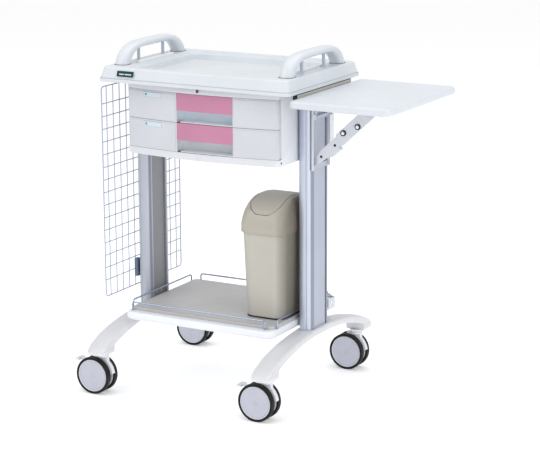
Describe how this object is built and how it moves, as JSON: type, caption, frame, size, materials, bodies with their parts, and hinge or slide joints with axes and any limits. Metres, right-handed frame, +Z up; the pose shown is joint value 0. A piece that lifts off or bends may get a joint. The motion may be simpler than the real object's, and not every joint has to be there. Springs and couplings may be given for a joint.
{
  "type": "medication cart",
  "caption": "Medication cart with a recessed tray top, bowed drawers, folding side shelf, wire grid, swing-top bin, lower shelf with guard rails and braked twin-wheel casters.",
  "frame": {"origin": "middle of the bounding box on the floor, with the side shelf raised", "axes": "+Z up; -Y is the front, with the drawers; +X is the side with the folding shelf"},
  "size_m": [0.887, 0.598, 0.92],
  "materials": {
    "white_moulding": "satin",
    "cabinet_paint": "satin",
    "drawer_front": "satin",
    "pink_panel": "satin",
    "drawer_box": "satin",
    "anodised_aluminium": "anodised",
    "plated_steel": "zinc plated",
    "chrome": "polished",
    "leg_paint": "powder coated",
    "shelf_plate": "satin",
    "shelf_bumper": "satin",
    "grid_wire": "plastic coated",
    "clip_plastic": "satin",
    "bin_plastic": "satin",
    "caster_housing": "satin",
    "wheel_disc": "satin",
    "tyre": "matte",
    "badge": "gloss"
  },
  "bodies": {
    "frame": {"tray": "white_moulding", "tray_frame": "anodised_aluminium", "badge_plate": "badge", "handle_left": "white_moulding", "handle_right": "white_moulding", "cabinet": "cabinet_paint", "runner_left": "plated_steel", "runner_right": "plated_steel", "column_left": "anodised_aluminium", "column_right": "anodised_aluminium", "leg_left": "leg_paint", "leg_right": "leg_paint", "shelf_bumper": "shelf_bumper", "shelf_plate": "shelf_plate", "rail_front": "chrome", "rail_back": "chrome", "rail_left": "chrome", "rail_right": "chrome", "wire_grid": "grid_wire", "grid_clip_lower": "clip_plastic", "grid_clip_upper": "clip_plastic", "pole_socket": "white_moulding", "hinge_bar": "plated_steel", "strut_bracket": "white_moulding"},
    "drawer_lower": {"drawer_lower_box": "drawer_box", "drawer_lower_front": "drawer_front", "drawer_lower_panel": "pink_panel"},
    "drawer_upper": {"drawer_upper_box": "drawer_box", "drawer_upper_front": "drawer_front", "drawer_upper_panel": "pink_panel"},
    "lock": {"lock_cylinder": "chrome"},
    "side_shelf": {"side_shelf_board": "white_moulding", "side_shelf_leaf": "plated_steel", "side_shelf_clevis": "plated_steel"},
    "strut": {"strut_plate": "plated_steel", "strut_arm": "plated_steel", "strut_screw_lower": "chrome", "strut_screw_upper": "chrome"},
    "bin": {"bin_body": "bin_plastic", "bin_hood": "bin_plastic"},
    "bin_flap": {"bin_flap": "bin_plastic"},
    "caster_front_left": {"caster_front_left_housing": "caster_housing"},
    "caster_front_left_wheel": {"caster_front_left_wheel_core": "wheel_disc", "caster_front_left_tyre_front": "tyre", "caster_front_left_tyre_back": "tyre"},
    "caster_front_left_brake": {"caster_front_left_pedal": "caster_housing"},
    "caster_front_right": {"caster_front_right_housing": "caster_housing"},
    "caster_front_right_wheel": {"caster_front_right_wheel_core": "wheel_disc", "caster_front_right_tyre_front": "tyre", "caster_front_right_tyre_back": "tyre"},
    "caster_front_right_brake": {"caster_front_right_pedal": "caster_housing"},
    "caster_back_left": {"caster_back_left_housing": "caster_housing"},
    "caster_back_left_wheel": {"caster_back_left_wheel_core": "wheel_disc", "caster_back_left_tyre_front": "tyre", "caster_back_left_tyre_back": "tyre"},
    "caster_back_right": {"caster_back_right_housing": "caster_housing"},
    "caster_back_right_wheel": {"caster_back_right_wheel_core": "wheel_disc", "caster_back_right_tyre_front": "tyre", "caster_back_right_tyre_back": "tyre"}
  },
  "joints": [
    {"name": "drawer_lower_slide", "type": "slide", "parent": "frame", "child": "drawer_lower", "axis": [0, -1, 0], "range_m": [0, 0.26]},
    {"name": "drawer_upper_slide", "type": "slide", "parent": "frame", "child": "drawer_upper", "axis": [0, -1, 0], "range_m": [0, 0.26]},
    {"name": "lock_turn", "type": "hinge", "parent": "frame", "child": "lock", "pos_m": [-0.1135, -0.169, 0.815], "axis": [0, 1, 0], "range_deg": [0, 90]},
    {"name": "side_shelf_hinge", "type": "hinge", "parent": "frame", "child": "side_shelf", "pos_m": [0.1615, 0, 0.752], "axis": [0, 1, 0], "range_deg": [0, 90]},
    {"name": "strut_pivot", "type": "hinge", "parent": "side_shelf", "child": "strut", "pos_m": [0.3135, -0.036, 0.7745], "axis": [0, -1, 0], "range_deg": [0, 138]},
    {"name": "bin_lift", "type": "slide", "parent": "frame", "child": "bin", "axis": [0, 0, 1], "range_m": [0, 0.07]},
    {"name": "bin_flap_swing", "type": "hinge", "parent": "bin", "child": "bin_flap", "pos_m": [0.0385, -0.015, 0.497], "axis": [1, 0, 0], "range_deg": [-35, 35], "stiffness_Nm_per_rad": 0.06},
    {"name": "caster_front_left_swivel", "type": "hinge", "parent": "frame", "child": "caster_front_left", "pos_m": [-0.3605, -0.254, 0.05], "axis": [0, 0, 1], "continuous": true},
    {"name": "caster_front_left_spin", "type": "hinge", "parent": "caster_front_left", "child": "caster_front_left_wheel", "pos_m": [-0.3835, -0.254, 0.05], "axis": [0, 1, 0], "continuous": true},
    {"name": "caster_front_left_press", "type": "hinge", "parent": "caster_front_left", "child": "caster_front_left_brake", "pos_m": [-0.4045, -0.254, 0.084], "axis": [0, -1, 0], "range_deg": [0, 12]},
    {"name": "caster_front_right_swivel", "type": "hinge", "parent": "frame", "child": "caster_front_right", "pos_m": [0.1335, -0.254, 0.05], "axis": [0, 0, 1], "continuous": true},
    {"name": "caster_front_right_spin", "type": "hinge", "parent": "caster_front_right", "child": "caster_front_right_wheel", "pos_m": [0.1105, -0.254, 0.05], "axis": [0, 1, 0], "continuous": true},
    {"name": "caster_front_right_press", "type": "hinge", "parent": "caster_front_right", "child": "caster_front_right_brake", "pos_m": [0.0895, -0.254, 0.084], "axis": [0, -1, 0], "range_deg": [0, 12]},
    {"name": "caster_back_left_swivel", "type": "hinge", "parent": "frame", "child": "caster_back_left", "pos_m": [-0.3605, 0.254, 0.05], "axis": [0, 0, 1], "continuous": true},
    {"name": "caster_back_left_spin", "type": "hinge", "parent": "caster_back_left", "child": "caster_back_left_wheel", "pos_m": [-0.3835, 0.254, 0.05], "axis": [0, 1, 0], "continuous": true},
    {"name": "caster_back_right_swivel", "type": "hinge", "parent": "frame", "child": "caster_back_right", "pos_m": [0.1335, 0.254, 0.05], "axis": [0, 0, 1], "continuous": true},
    {"name": "caster_back_right_spin", "type": "hinge", "parent": "caster_back_right", "child": "caster_back_right_wheel", "pos_m": [0.1105, 0.254, 0.05], "axis": [0, 1, 0], "continuous": true}
  ],
  "couplings": [
    {"joint": "strut_pivot", "follows": "side_shelf_hinge", "ratio": 1.5308}
  ]
}
